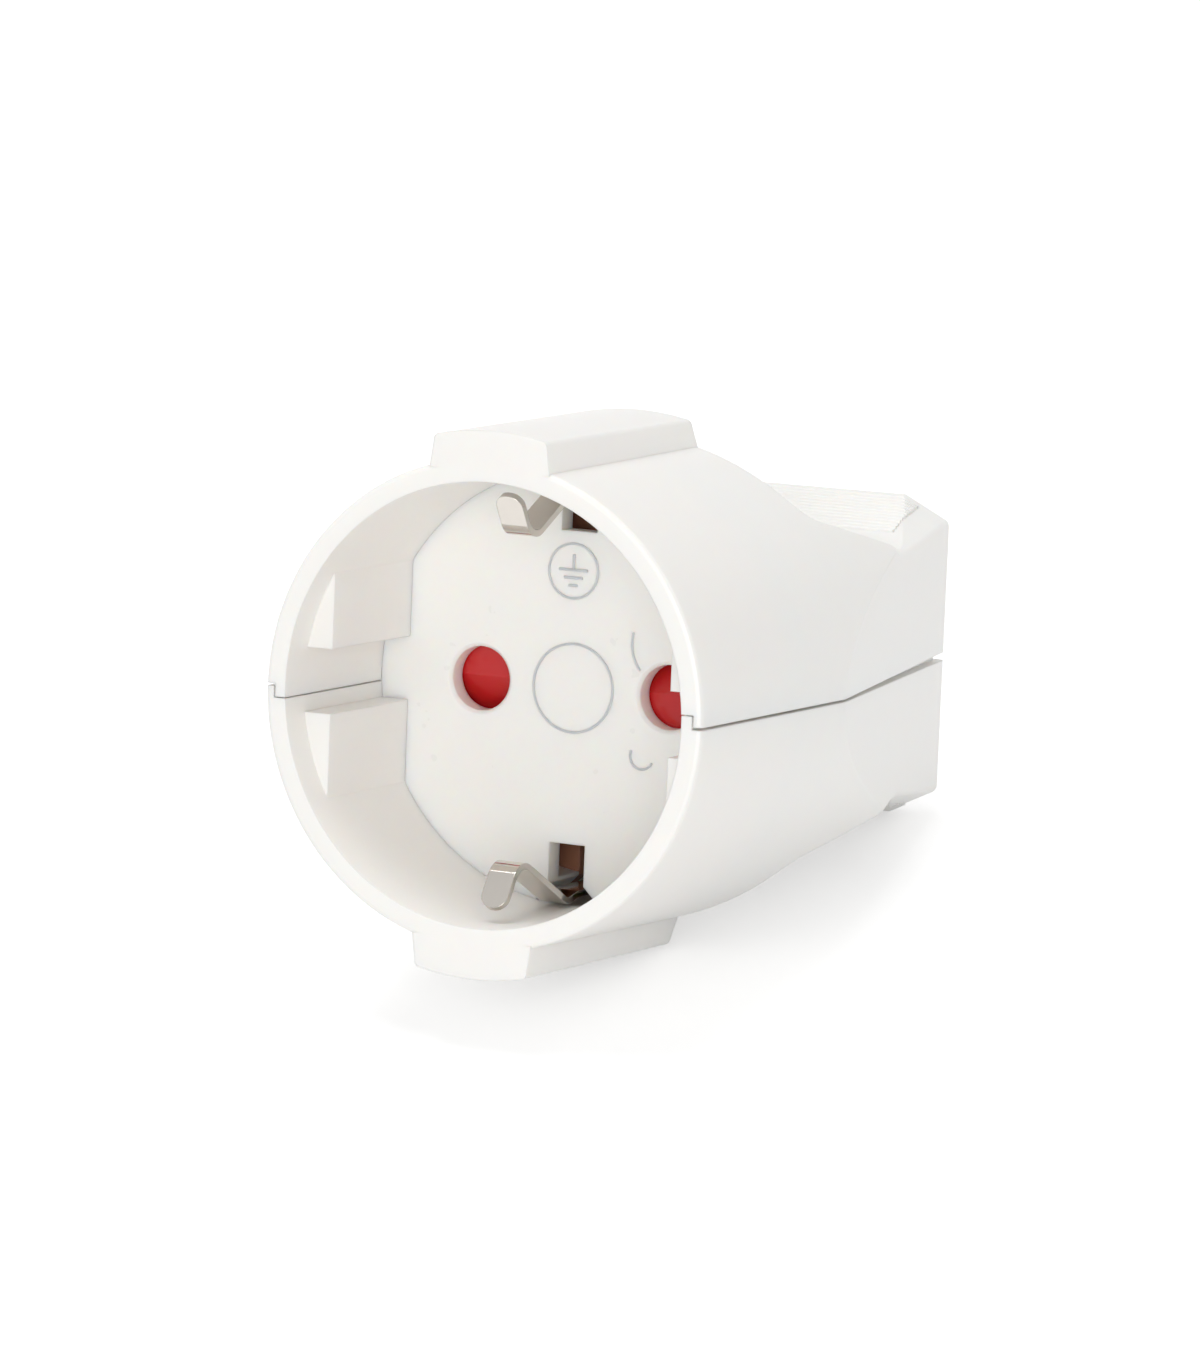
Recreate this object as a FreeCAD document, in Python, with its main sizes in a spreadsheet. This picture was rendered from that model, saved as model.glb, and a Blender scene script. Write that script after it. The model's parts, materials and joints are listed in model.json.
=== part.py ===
import FreeCAD, Part
import math
import os
import re
import Sketcher
from FreeCAD import Placement, Rotation, Vector

# Inline socket for an earthed round plug: two screwed half shells round an insert with a
# safety shutter, two spring contacts and an earth strip.
# Every piece is drawn on the connector's own axes: origin at the centre of the mouth, +Y into
# the body, +X to the right as seen from the front, +Z up. All are then set down together,
# tipped back by the angle at which the connector comes to rest.

SIZES = (
    # Outer form
    ("mouth_wall", 1.95, "wall round the plug well at the mouth"),
    ("rim_r", "=well_r + mouth_wall", "outside radius at the mouth"),
    ("swell", 0.65, "widening from the mouth to the neck"),
    ("barrel_r", "=rim_r + swell", "outside radius where the neck begins"),
    ("neck_y", 27.5, "mouth to the start of the side tapers"),
    ("body_y", 65.8, "mouth to the rear face"),
    ("tail_half", 14.5, "half width at the rear face"),
    ("wall", 2.0, "wall of a half shell"),
    ("pad_high", 1.9, "height of the raised pad over the barrel"),
    ("pad_r", "=barrel_r + pad_high", "radius over the raised pad at the mouth"),
    ("pad_rise", 0.4, "rise of the pad towards its rear end"),
    ("pad_half", 5.5, "half width of the pad at its top"),
    ("pad_foot", 5.9, "half width of the pad at its foot"),
    ("pad_y", 27.5, "length of the pad"),
    ("step_y", 31.1, "foot of the step behind the pad, along the body"),
    ("step_z", 15.7, "foot of the step, above the axis"),
    ("low_y", 48.5, "lowest point of the thumb scoop, along the body"),
    ("low_z", 11.4, "lowest point of the thumb scoop, above the axis"),
    ("crest_y", 64.6, "top of the grip ramp, along the body"),
    ("crest_z", 15.1, "top of the grip ramp, above the axis"),
    ("flat_half", 10.0, "half width of the level part of the crest"),
    ("shoulder_z", 12.9, "height of the crest's sloping shoulder at the side"),
    ("shoulder_y", 49.0, "where the shoulder's slope starts, along the body"),
    ("rim_round", 0.45, "rounding of the rim"),
    ("pad_round", 0.5, "rounding of the pad"),
    ("step_round", 4.0, "hollow rounding at the foot of the step"),
    ("low_round", 9.0, "hollow rounding at the bottom of the scoop"),
    ("tail_round", 0.8, "rounding of the rear edges"),
    # Grip ribs
    ("rib_count", 12, "ribs on each grip ramp"),
    ("rib_pitch", 0.86, "rib to rib, along the body"),
    ("rib_wide", 0.6, "width of a rib at its root"),
    ("rib_high", 0.25, "height of a rib"),
    ("rib_margin", 2.8, "smooth border beside the ribs"),
    ("rib_start", 5.4, "scoop bottom to the first rib, along the body"),
    # Well, guide blocks and the joint between the shells
    ("well_r", 19.6, "radius of the plug well"),
    ("well_deep", 17.5, "depth of the plug well"),
    ("key_t", 2.8, "thickness of a guide block"),
    ("key_x", "=well_r - key_t", "axis to the flat of a guide block"),
    ("key_front", 3.3, "mouth to the front of a guide block"),
    ("key_high", 3.2, "lower edge of the left guide block"),
    ("key_low", 2.6, "lower edge of the right guide block"),
    ("split_gap", 0.12, "half of the joint line at the mouth"),
    ("tail_gap", 0.4, "half of the joint line at the rear"),
    ("lip", 0.85, "thickness of the outer lip at the joint"),
    ("lap", 1.05, "height of the inner tongue at the joint"),
    ("fit", 0.1, "clearance between pieces that slot together"),
    # Socket face
    ("face_grip", 0.9, "edge of the socket face that the groove holds"),
    ("face_r", "=well_r + face_grip", "radius of the socket face"),
    ("face_t", 2.1, "thickness of the socket face"),
    ("pin_x", 9.5, "axis to a pin hole"),
    ("pin_hole_r", 2.92, "radius of a pin hole"),
    ("pin_lead", 0.3, "lead-in of a pin hole"),
    ("slot_z", 14.1, "axis to the start of an earth slot"),
    ("slot_half", 1.8, "half width of an earth slot"),
    ("slot_wide", 2.9, "half width of an earth slot at its flared end"),
    ("slot_flare_z", 17.8, "axis to the start of the flare"),
    ("chamber", 4.0, "depth of the shutter chamber behind the face"),
    ("skirt_step", 0.4, "well wall in to the outside of the skirt"),
    ("skirt_r", "=well_r - skirt_step", "outside radius of the skirt behind the face"),
    ("skirt_t", 1.6, "thickness of the skirt"),
    ("pivot_r", 2.5, "radius of the shutter's pivot post"),
    ("post_r", 2.4, "radius of a screw post"),
    ("post_gap", 0.2836, "gap between a screw post and the skirt"),
    ("post_turn", 39.56, "angle of a screw post above the pin holes"),
    ("post_reach", "=skirt_r - skirt_t - post_r - post_gap", "axis to a screw post"),
    ("post_x", "=post_reach * cos(post_turn)", "screw post, across from the axis"),
    ("post_z", "=post_reach * sin(post_turn)", "screw post, above the axis"),
    # Shutter and its spring
    ("shutter_t", 2.2, "thickness of the shutter"),
    ("shutter_play", 0.25, "play in front of the shutter"),
    ("shutter_hub_r", 4.6, "radius of the shutter's hub"),
    ("shutter_reach", 13.2, "axis to the end of a shutter wing"),
    ("shutter_half", 3.4, "half width of a shutter wing"),
    ("shutter_ramp", 1.3, "depth of the ramp on a wing"),
    ("pivot_play", 0.05, "running clearance of the shutter on its post"),
    ("coil_r", 3.3, "inner radius of the shutter spring, at the wire's middle"),
    ("coil_wire_r", 0.25, "half the thickness of the square spring wire"),
    ("coil_halves", 2, "half turns of the shutter spring"),
    ("coil_leg", 3.2, "length of the spring's straight leg"),
    # Contact carrier
    ("plate_t", 1.5, "thickness of the carrier's front plate"),
    ("box_x", 15.2, "half width of the carrier's box"),
    ("box_z", 6.6, "half height of the carrier's box"),
    ("box_y", 39.5, "mouth to the rear face of the carrier"),
    ("cell_front", 27.2, "mouth to the front of a contact cell"),
    ("cell_play", 0.12, "clearance round a contact in its cell"),
    # Live and neutral contacts
    ("strip_t", 0.6, "thickness of the contact strip"),
    ("grip_half", 2.35, "half of the gap between a contact's cheeks"),
    ("cheek_top", 3.4, "axis to the top of a cheek"),
    ("web_z", 4.0, "axis to the underside of a contact"),
    ("contact_y", 27.5, "mouth to the front of a contact"),
    ("contact_long", 10.5, "length of the cheeks"),
    ("cheek_lead", 0.5, "lead-in of the cheeks"),
    ("tail_half_w", 1.5, "half width of a contact's tail"),
    ("tail_end", 44.6, "mouth to the end of a contact's tail"),
    # Terminals
    ("term_half", 3.1, "half width of a terminal block"),
    ("term_long", 6.2, "length of a terminal block"),
    ("term_low", 5.2, "axis to the underside of a terminal block"),
    ("term_top", 3.4, "axis to the top of a terminal block"),
    ("tunnel_half", 1.8, "half width of a terminal's wire tunnel"),
    ("tunnel_top", 0.6, "axis to the top of the wire tunnel"),
    ("earth_half", 2.7, "half width of the earth terminal block"),
    ("earth_wall", 1.2, "front wall of the earth terminal"),
    ("block_round", 0.3, "rounding of a terminal block"),
    # Earth strip, centre line
    ("earth_w", 1.3, "half width of the earth strip"),
    ("earth_play", 0.05, "clearance between the earth strip and the carrier"),
    ("earth_arm_in", 1.1, "well wall in to the arm beside the carrier plate"),
    ("earth_arm_z", "=well_r - earth_arm_in", "axis to the arm beside the carrier plate"),
    ("earth_wall_y", 15.6, "mouth to the outward knee of a side clip"),
    ("earth_wall_in", 0.65, "well wall in to the outward knee of a side clip"),
    ("earth_wall_z", "=well_r - earth_wall_in", "axis to the outward knee of a side clip"),
    ("earth_nose_y", 6.29, "mouth to the nose of a side clip"),
    ("earth_nose_z", 14.15, "axis to the nose of a side clip"),
    ("earth_tip_y", 3.7, "mouth to the tip of a side clip"),
    ("earth_tip_in", 1.3, "well wall in to the tip of a side clip"),
    ("earth_tip_z", "=well_r - earth_tip_in", "axis to the tip of a side clip"),
    ("earth_bend", 1.0, "bend radius of the earth strip"),
    ("earth_nose_r", 2.0, "bend radius at the nose of a side clip"),
    # Screws
    ("thread_r", 1.45, "radius of the housing screws"),
    ("thread_play", 0.05, "clearance round a screw in its hole"),
    ("head_r", 2.9, "radius of a housing screw's head"),
    ("head_t", 2.0, "height of a housing screw's head"),
    ("screw_x", 11.9, "axis to a housing screw, across"),
    ("screw_y", 50.4, "mouth to the housing screws"),
    ("screw_seat", 6.0, "axis to the seat of a housing screw's head"),
    ("screw_end", 7.0, "axis to the end of a housing screw"),
    ("boss_r", 3.3, "radius of a housing screw boss"),
    ("sink_r", 3.2, "radius of the sinking for a screw head"),
    ("small_r", 1.15, "radius of the small screws"),
    ("small_head_r", 2.0, "radius of a small screw's head"),
    ("small_head_t", 1.5, "height of a small screw's head"),
    ("slot_w", 0.6, "width of a screwdriver slot"),
    ("slot_d", 0.7, "depth of a screwdriver slot"),
    ("insert_long", 4.4, "length of an insert screw under its head"),
    # Cord entry and clamp
    ("entry_r", 4.75, "radius of the cord entry"),
    ("cord_r", 4.3, "radius of the cord that the clamp holds"),
    ("clamp_y", 57.5, "mouth to the middle of the cord clamp"),
    ("clamp_long", 5.0, "length of the cord clamp along the cord"),
    ("clamp_x", 8.4, "axis to a clamp screw, across"),
    ("clamp_half", 11.2, "half width of the clamp"),
    ("clamp_seat", 0.6, "axis down to the clamp's seats"),
    ("clamp_ear", 2.4, "axis to the top of the clamp's ears"),
    ("clamp_top", 6.2, "axis to the top of the clamp's arch"),
    ("clamp_arch", 5.9, "half width of the clamp's arch"),
    ("clamp_post_r", 2.6, "radius of a clamp screw post"),
    ("clamp_screw_end", 8.0, "axis down to the end of a clamp screw"),
    ("saddle_long", 3.0, "length of the ribbed saddle under the cord"),
)

doc = FreeCAD.newDocument("InlineSocket")
sheet = doc.addObject("Spreadsheet::Sheet", "Sizes")
for row, (alias, size, meaning) in enumerate(SIZES, start=1):
    sheet.set(f"A{row}", meaning)
    sheet.setAlias(f"B{row}", alias)
for row, (alias, size, meaning) in enumerate(SIZES, start=1):
    sheet.set(f"B{row}", str(size))
doc.recompute()
NAMES = {alias for alias, size, meaning in SIZES}


def bound(text):
    """An expression in size names, written so that other objects can read the sheet."""
    return re.sub(r"[a-z_]\w*", lambda m: "Sizes." + m[0] if m[0] in NAMES else m[0], text)


def number(text):
    """The present value of an expression in size names."""
    return float(sheet.evalExpression(bound(text)))


def new_body(label):
    body = doc.addObject("PartDesign::Body", label)
    body.Label = label
    return body


def new_sketch(body, plane, offset=None):
    """A sketch on one of the body's own planes, moved along that plane's normal by offset."""
    sketch = body.newObject("Sketcher::SketchObject", body.Name + "_outline")
    base = next(f for f in body.Origin.OriginFeatures if f.Role == plane)
    sketch.AttachmentSupport = [(base, "")]
    sketch.MapMode = "FlatFace"
    if offset:
        sketch.setExpression("AttachmentOffset.Base.z", bound(offset))
    return sketch


def hold(sketch, kind, places, text):
    """One driving constraint, bound to the sheet."""
    index = sketch.addConstraint(Sketcher.Constraint(kind, *places, number(text)))
    sketch.setExpression(f"Constraints[{index}]", bound(text))


def circle(sketch, x, y, radius):
    centre = Vector(number(x), number(y), 0)
    edge = sketch.addGeometry(Part.Circle(centre, Vector(0, 0, 1), number(radius)), False)
    hold(sketch, "DistanceX", (-1, 1, edge, 3), x)
    hold(sketch, "DistanceY", (-1, 1, edge, 3), y)
    hold(sketch, "Radius", (edge,), radius)


def arc_between(first, last, radius):
    """The short arc from first to last, counter-clockwise for a positive radius."""
    chord = last - first
    half = chord.Length / 2
    left = Vector(-chord.y, chord.x, 0).normalize() * math.copysign(1, radius)
    centre = (first + last) / 2 + left * math.sqrt(max(radius ** 2 - half ** 2, 0))
    ring = Part.Circle(centre, Vector(0, 0, 1), abs(radius))
    start, end = (first, last) if radius > 0 else (last, first)
    angles = [math.atan2(p.y - centre.y, p.x - centre.x) for p in (start, end)]
    return Part.ArcOfCircle(ring, *angles)


def outline(sketch, corners):
    """A closed outline through corners (x, y), each an expression in size names. A third entry
    makes the stretch to the next corner an arc of that radius, clockwise with a minus sign."""
    points = [Vector(number(c[0]), number(c[1]), 0) for c in corners]
    ends = []
    for corner, point, after in zip(corners, points, points[1:] + points[:1]):
        if len(corner) == 3:
            radius = number(corner[2])
            edge = sketch.addGeometry(arc_between(point, after, radius), False)
            ends.append((edge, 1, 2) if radius > 0 else (edge, 2, 1))
        else:
            edge = sketch.addGeometry(Part.LineSegment(point, after), False)
            ends.append((edge, 1, 2))
    for (edge, start, end), (following, begin, finish) in zip(ends, ends[1:] + ends[:1]):
        sketch.addConstraint(Sketcher.Constraint("Coincident", edge, end, following, begin))
    for (edge, start, end), corner in zip(ends, corners):
        hold(sketch, "DistanceX", (-1, 1, edge, start), corner[0])
        hold(sketch, "DistanceY", (-1, 1, edge, start), corner[1])
        if len(corner) == 3:
            index = sketch.addConstraint(
                Sketcher.Constraint("Radius", edge, abs(number(corner[2]))))
            sketch.setExpression(f"Constraints[{index}]", bound(f"abs({corner[2]})"))


def feature(body, kind, sketch, **settings):
    """A sketch-based feature; lengths are bound to the sheet."""
    made = body.newObject("PartDesign::" + kind, f"{body.Name}_{kind}")
    made.Profile = sketch
    made.Refine = False
    for name, setting in settings.items():
        if name in ("Length", "Length2"):
            made.setExpression(name, bound(setting))
        else:
            setattr(made, name, setting)
    doc.recompute()
    return made


def pad(body, sketch, length, **settings):
    return feature(body, "Pad", sketch, Length=length, **settings)


def cut(body, sketch, length, **settings):
    """A pocket, which has to take something away."""
    before = body.Shape.Volume
    made = feature(body, "Pocket", sketch, Length=length, **settings)
    if body.Shape.Volume >= before:
        raise ValueError(f"{made.Name} cuts nothing")
    return made


def round_edges(body, radius, wanted, kind="Fillet"):
    """Round, or chamfer, the edges whose middle point and bounding box pass the test."""
    names = []
    for index, edge in enumerate(body.Shape.Edges, start=1):
        middle = edge.valueAt((edge.FirstParameter + edge.LastParameter) / 2)
        if wanted(middle, edge.BoundBox):
            names.append(f"Edge{index}")
    if not names:
        raise ValueError(f"{body.Name} has no such edge")
    made = body.newObject("PartDesign::" + kind, f"{body.Name}_{kind}")
    made.Base = (body.Tip if body.Tip != made else made.BaseFeature, names)
    made.setExpression("Radius" if kind == "Fillet" else "Size", bound(radius))
    doc.recompute()
    return made


def near(a, b, slack=0.02):
    return abs(a - b) < slack


def join(body, tool, kind):
    """Fuse another body with this one, or cut it out."""
    made = body.newObject("PartDesign::Boolean", f"{body.Name}_{kind}")
    made.Type = kind
    made.Refine = False
    made.setObjects([tool])
    doc.recompute()


# Half shells

def neck_form(body, inset, front):
    """The turned barrel with its tapered sides, drawn in by inset."""
    turn = new_sketch(body, "XY_Plane")
    if inset == "0":
        mouth = [("rim_r - rim_round", front),
                 ("rim_r - rim_round / 4", f"{front} + rim_round / 4"),
                 ("rim_r", f"{front} + rim_round")]
    else:
        mouth = [(f"barrel_r - {inset}", front)]
    outline(turn, [("0", front), *mouth, (f"barrel_r - {inset}", "neck_y"),
                   (f"barrel_r - {inset}", f"body_y - {inset}"), ("0", f"body_y - {inset}")])
    feature(body, "Revolution", turn, ReferenceAxis=(turn, ["V_Axis"]), Angle=180,
            Reversed=True)
    taper = new_sketch(body, "XY_Plane")
    for side in ("", "-"):
        outline(taper, [(f"{side}(barrel_r - {inset})", "neck_y"),
                        (f"{side}(tail_half - {inset})", "body_y"),
                        (f"{side}(barrel_r + wall)", "body_y"),
                        (f"{side}(barrel_r + wall)", "neck_y")])
    cut(body, taper, "barrel_r", Reversed=True)


def scoop(body, inset):
    """The step behind the pad, the thumb scoop and the ramp up to the crest."""
    side_view = new_sketch(body, "YZ_Plane")
    outline(side_view, [(f"pad_y - {inset}", "pad_r + wall"),
                        (f"pad_y - {inset}", f"pad_r + pad_rise - {inset}"),
                        (f"step_y - {inset}", f"step_z - {inset}"),
                        ("low_y", f"low_z - {inset}"),
                        ("crest_y", f"crest_z - {inset}"),
                        ("body_y + wall", f"crest_z - {inset}"),
                        ("body_y + wall", "pad_r + wall")])
    cut(body, side_view, "3 * barrel_r", SideType="Symmetric")


def raised_pad(body):
    """The crowned pad on the barrel; it rises a little towards its rear end."""
    section = new_sketch(body, "XZ_Plane")
    section.AttachmentOffset = Placement(Vector(), Rotation(Vector(1, 0, 0), 1))
    section.setExpression("AttachmentOffset.Rotation.Angle",
                          bound("atan(pad_rise / pad_y)"))
    top = "sqrt(pad_r^2 - pad_half^2)"
    outline(section, [("pad_half", top, "pad_r"), ("-pad_half", top),
                      ("-pad_foot", "rim_r - wall / 2"), ("pad_foot", "rim_r - wall / 2")])
    pad(body, section, "wall", SideType="Two sides", Length2="step_y")
    front = new_sketch(body, "XZ_Plane")
    outline(front, [("2 * barrel_r", "-wall"), ("2 * barrel_r", "2 * barrel_r"),
                    ("-2 * barrel_r", "2 * barrel_r"), ("-2 * barrel_r", "-wall")])
    cut(body, front, "2 * wall", Reversed=True)


def shoulders(body, proud):
    """The sloping shoulders beside the level part of the crest, raised by proud."""
    slope = "(crest_z - shoulder_z) / (tail_half - flat_half)"
    section = new_sketch(body, "XZ_Plane", "-(body_y + wall)")
    for side in ("", "-"):
        outline(section, [(f"{side}flat_half", f"crest_z + {proud}"),
                          (f"{side}barrel_r",
                           f"crest_z + {proud} - (barrel_r - flat_half) * {slope}"),
                          (f"{side}barrel_r", "pad_r + wall"),
                          (f"{side}flat_half", "pad_r + wall")])
    cut(body, section, "body_y + wall - shoulder_y", Reversed=True)


def hollow(body):
    """The space behind the insert, drawn as a solid of its own and taken out."""
    space = new_body(body.Name + "_hollow")
    neck_form(space, "wall", "well_deep + face_t + fit")
    scoop(space, "wall")
    join(body, space, "Cut")


def grip_ribs(body):
    """Low ribs across the ramp, cut off parallel to the tapering sides."""
    rise = "(crest_z - low_z) / (crest_y - low_y)"
    ribs = new_body(body.Name + "_ribs")
    section = new_sketch(ribs, "YZ_Plane")
    bow = f"(rib_wide^2 / 4 * (1 + ({rise})^2) + rib_high^2) / (2 * rib_high)"
    for index in range(int(number("rib_count"))):
        along = f"(rib_start + {index} * rib_pitch)"
        root = f"low_z + {along} * {rise}"
        lean = f"rib_wide / 2 * {rise}"
        outline(section, [(f"low_y + {along} + rib_wide / 2", f"{root} + {lean}", bow),
                          (f"low_y + {along} - rib_wide / 2", f"{root} - {lean}"),
                          (f"low_y + {along} - rib_wide / 2", f"{root} - wall / 2"),
                          (f"low_y + {along} + rib_wide / 2", f"{root} - wall / 2")])
    pad(ribs, section, "2 * barrel_r", SideType="Symmetric")
    shoulders(ribs, "rib_high")
    border = new_sketch(ribs, "XY_Plane")
    for side in ("", "-"):
        outline(border, [(f"{side}(barrel_r - rib_margin)", "neck_y"),
                         (f"{side}(tail_half - rib_margin)", "body_y"),
                         (f"{side}(barrel_r + wall)", "body_y"),
                         (f"{side}(barrel_r + wall)", "neck_y")])
    cut(ribs, border, "barrel_r", Reversed=True)
    join(body, ribs, "Fuse")


def well(body):
    """The plug well with its two guide blocks, and the groove that holds the socket face."""
    mouth = new_sketch(body, "XZ_Plane")
    circle(mouth, "0", "0", "well_r")
    cut(body, mouth, "key_front")
    keyed = new_sketch(body, "XZ_Plane")
    corner = "sqrt(well_r^2 - key_x^2)"
    below = "sqrt(well_r^2 - wall^2)"
    outline(keyed, [(below, "-wall", "well_r"),
                    ("sqrt(well_r^2 - key_low^2)", "key_low"),
                    ("key_x", "key_low"),
                    ("key_x", corner, "well_r"),
                    ("-key_x", corner),
                    ("-key_x", "key_high"),
                    ("-sqrt(well_r^2 - key_high^2)", "key_high", "well_r"),
                    (f"-{below}", "-wall")])
    cut(body, keyed, "well_deep")
    groove = new_sketch(body, "XZ_Plane", "-well_deep")
    circle(groove, "0", "0", "face_r + fit")
    cut(body, groove, "face_t + fit")


def joint_line(body):
    """The lapped joint: a rebate behind the lip on the right, a tongue on the left."""
    gap = new_sketch(body, "YZ_Plane")
    outline(gap, [("-wall", "-wall"), ("-wall", "split_gap"), ("neck_y", "split_gap"),
                  ("body_y + wall", "tail_gap"), ("body_y + wall", "-wall")])
    cut(body, gap, "3 * barrel_r", SideType="Symmetric")
    taper = "(barrel_r - tail_half) / (body_y - neck_y)"
    rebate = new_sketch(body, "XY_Plane")
    outline(rebate, [("0", "-wall"), ("rim_r - lip", "-wall"), ("barrel_r - lip", "neck_y"),
                     (f"tail_half - lip + lip * {taper}", "body_y - lip"),
                     ("0", "body_y - lip")])
    cut(body, rebate, "lap + fit", Reversed=True)
    tongue = new_sketch(body, "XY_Plane")
    outline(tongue, [("-well_r", "0"), ("-well_r", "well_deep - fit"),
                     ("-(rim_r - lip - fit)", "well_deep - fit"),
                     ("-(rim_r - lip - fit)", "0")])
    end = "(lip + fit)"
    outline(tongue, [("-(barrel_r - wall)", "well_deep + face_t + 2 * fit"),
                     ("-(barrel_r - wall)", "neck_y"),
                     (f"-(tail_half - wall + {end} * {taper})", f"body_y - {end}"),
                     (f"-(tail_half - {end} + {end} * {taper})", f"body_y - {end}"),
                     ("-(barrel_r - lip - fit)", "neck_y"),
                     ("-(rim_r - lip - fit)", "well_deep + face_t + 2 * fit")])
    pad(body, tongue, "lap", SideType="Two sides", Length2="lap", Reversed=True)


def screw_bosses(body, bore_end, sunk):
    """The two bosses of the housing screws, blind in one shell and sunk in the other."""
    boss = new_sketch(body, "XY_Plane")
    bore = new_sketch(body, "XY_Plane")
    cup = new_sketch(body, "XY_Plane", "screw_seat - wall")
    sinking = new_sketch(body, "XY_Plane", "screw_seat")
    for side in ("", "-"):
        circle(boss, f"{side}screw_x", "screw_y", "boss_r")
        circle(bore, f"{side}screw_x", "screw_y", "thread_r + thread_play")
        circle(cup, f"{side}screw_x", "screw_y", "sink_r + wall / 2")
        circle(sinking, f"{side}screw_x", "screw_y", "sink_r")
    pad(body, boss, "low_z - wall / 2")
    if sunk:
        pad(body, cup, "low_z + wall / 2 - screw_seat")
        cut(body, sinking, "crest_z", Reversed=True)
    cut(body, bore, bore_end, Reversed=True)


def cord_entry(body):
    entry = new_sketch(body, "XZ_Plane", "2 * wall - body_y")
    circle(entry, "0", "0", "entry_r")
    cut(body, entry, "3 * wall")


def clamp_seat(body):
    """Two posts for the clamp screws and a saddle under the cord."""
    saddle = new_sketch(body, "XZ_Plane", "-(clamp_y - saddle_long / 2)")
    mouth = "sqrt(cord_r^2 - wall^2)"
    outline(saddle, [("-clamp_x", "wall"), (f"-{mouth}", "wall", "-cord_r"), (mouth, "wall"),
                     ("clamp_x", "wall"), ("clamp_x", "low_z + wall / 2"),
                     ("-clamp_x", "low_z + wall / 2")])
    pad(body, saddle, "saddle_long", Reversed=True)
    post = new_sketch(body, "XY_Plane", "clamp_seat")
    bore = new_sketch(body, "XY_Plane", "clamp_seat")
    for side in ("", "-"):
        circle(post, f"{side}clamp_x", "clamp_y", "clamp_post_r")
        circle(bore, f"{side}clamp_x", "clamp_y", "small_r + thread_play")
    pad(body, post, "low_z + wall / 2")
    cut(body, bore, "clamp_screw_end", Reversed=True)


def half_shell(label):
    """What both half shells share; each is the other turned half round about the axis."""
    body = new_body(label)
    neck_form(body, "0", "0")
    raised_pad(body)
    scoop(body, "0")
    shoulders(body, "0")
    round_edges(body, "step_round", lambda p, box: near(p.y, number("step_y"))
                and near(p.z, number("step_z")))
    round_edges(body, "low_round", lambda p, box: near(p.y, number("low_y"))
                and near(p.z, number("low_z")))
    taper = number("(barrel_r - tail_half) / (body_y - neck_y)")
    round_edges(body, "tail_round", lambda p, box: p.z > number("split_gap")
                and (near(box.YMin, number("body_y"))
                     or (p.y > number("low_y - low_round / 2") and p.z > number("low_z - wall")
                         and near(abs(p.x), number("tail_half")
                                  + (number("body_y") - p.y) * taper, 0.05))))
    round_edges(body, "pad_round", lambda p, box: box.YLength > number("pad_y / 2")
                and p.z > number("barrel_r") and near(abs(p.x), number("pad_half"), 0.1))
    hollow(body)
    well(body)
    joint_line(body)
    cord_entry(body)
    return body


def upper_housing():
    body = half_shell("upper_housing")
    screw_bosses(body, "screw_end + thread_r", sunk=False)
    grip_ribs(body)
    return body


def lower_housing():
    body = half_shell("lower_housing")
    screw_bosses(body, "crest_z", sunk=True)
    clamp_seat(body)
    grip_ribs(body)
    return body


# Insert: socket face, shutter, spring and contact carrier

def earth_slots(body, front, length):
    """The two flared slots through which the earth strip reaches into the well."""
    slots = new_sketch(body, "XZ_Plane", f"-({front})")
    for side in ("", "-"):
        outline(slots, [("-slot_half", f"{side}slot_z"), ("slot_half", f"{side}slot_z"),
                        ("slot_half", f"{side}slot_flare_z"),
                        ("slot_wide", f"{side}(slot_flare_z + slot_wide - slot_half)"),
                        ("slot_wide", f"{side}(face_r + wall)"),
                        ("-slot_wide", f"{side}(face_r + wall)"),
                        ("-slot_wide", f"{side}(slot_flare_z + slot_wide - slot_half)"),
                        ("-slot_half", f"{side}slot_flare_z")])
    cut(body, slots, length)


def socket_face():
    """The disc at the bottom of the well, with the skirt and posts behind it."""
    body = new_body("socket_face")
    disc = new_sketch(body, "XZ_Plane", "-well_deep")
    circle(disc, "0", "0", "face_r")
    pad(body, disc, "face_t", Reversed=True)
    skirt = new_sketch(body, "XZ_Plane", "-(well_deep + face_t)")
    circle(skirt, "0", "0", "skirt_r")
    circle(skirt, "0", "0", "skirt_r - skirt_t")
    pad(body, skirt, "chamber", Reversed=True)
    posts = new_sketch(body, "XZ_Plane", "-(well_deep + face_t)")
    circle(posts, "0", "0", "pivot_r")
    circle(posts, "post_x", "post_z", "post_r")
    circle(posts, "-post_x", "-post_z", "post_r")
    pad(body, posts, "chamber", Reversed=True)
    pins = new_sketch(body, "XZ_Plane", "-well_deep")
    for side in ("", "-"):
        circle(pins, f"{side}pin_x", "0", "pin_hole_r")
    cut(body, pins, "face_t")
    pilots = new_sketch(body, "XZ_Plane", "-(well_deep + wall)")
    for side in ("", "-"):
        circle(pilots, f"{side}post_x", f"{side}post_z", "small_r + thread_play")
    cut(body, pilots, "face_t + chamber")
    earth_slots(body, "well_deep", "face_t + chamber")
    round_edges(body, "pin_lead", lambda p, box: near(box.YMax, number("well_deep"))
                and near(box.XLength, number("2 * pin_hole_r")), kind="Chamfer")
    return body


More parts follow.
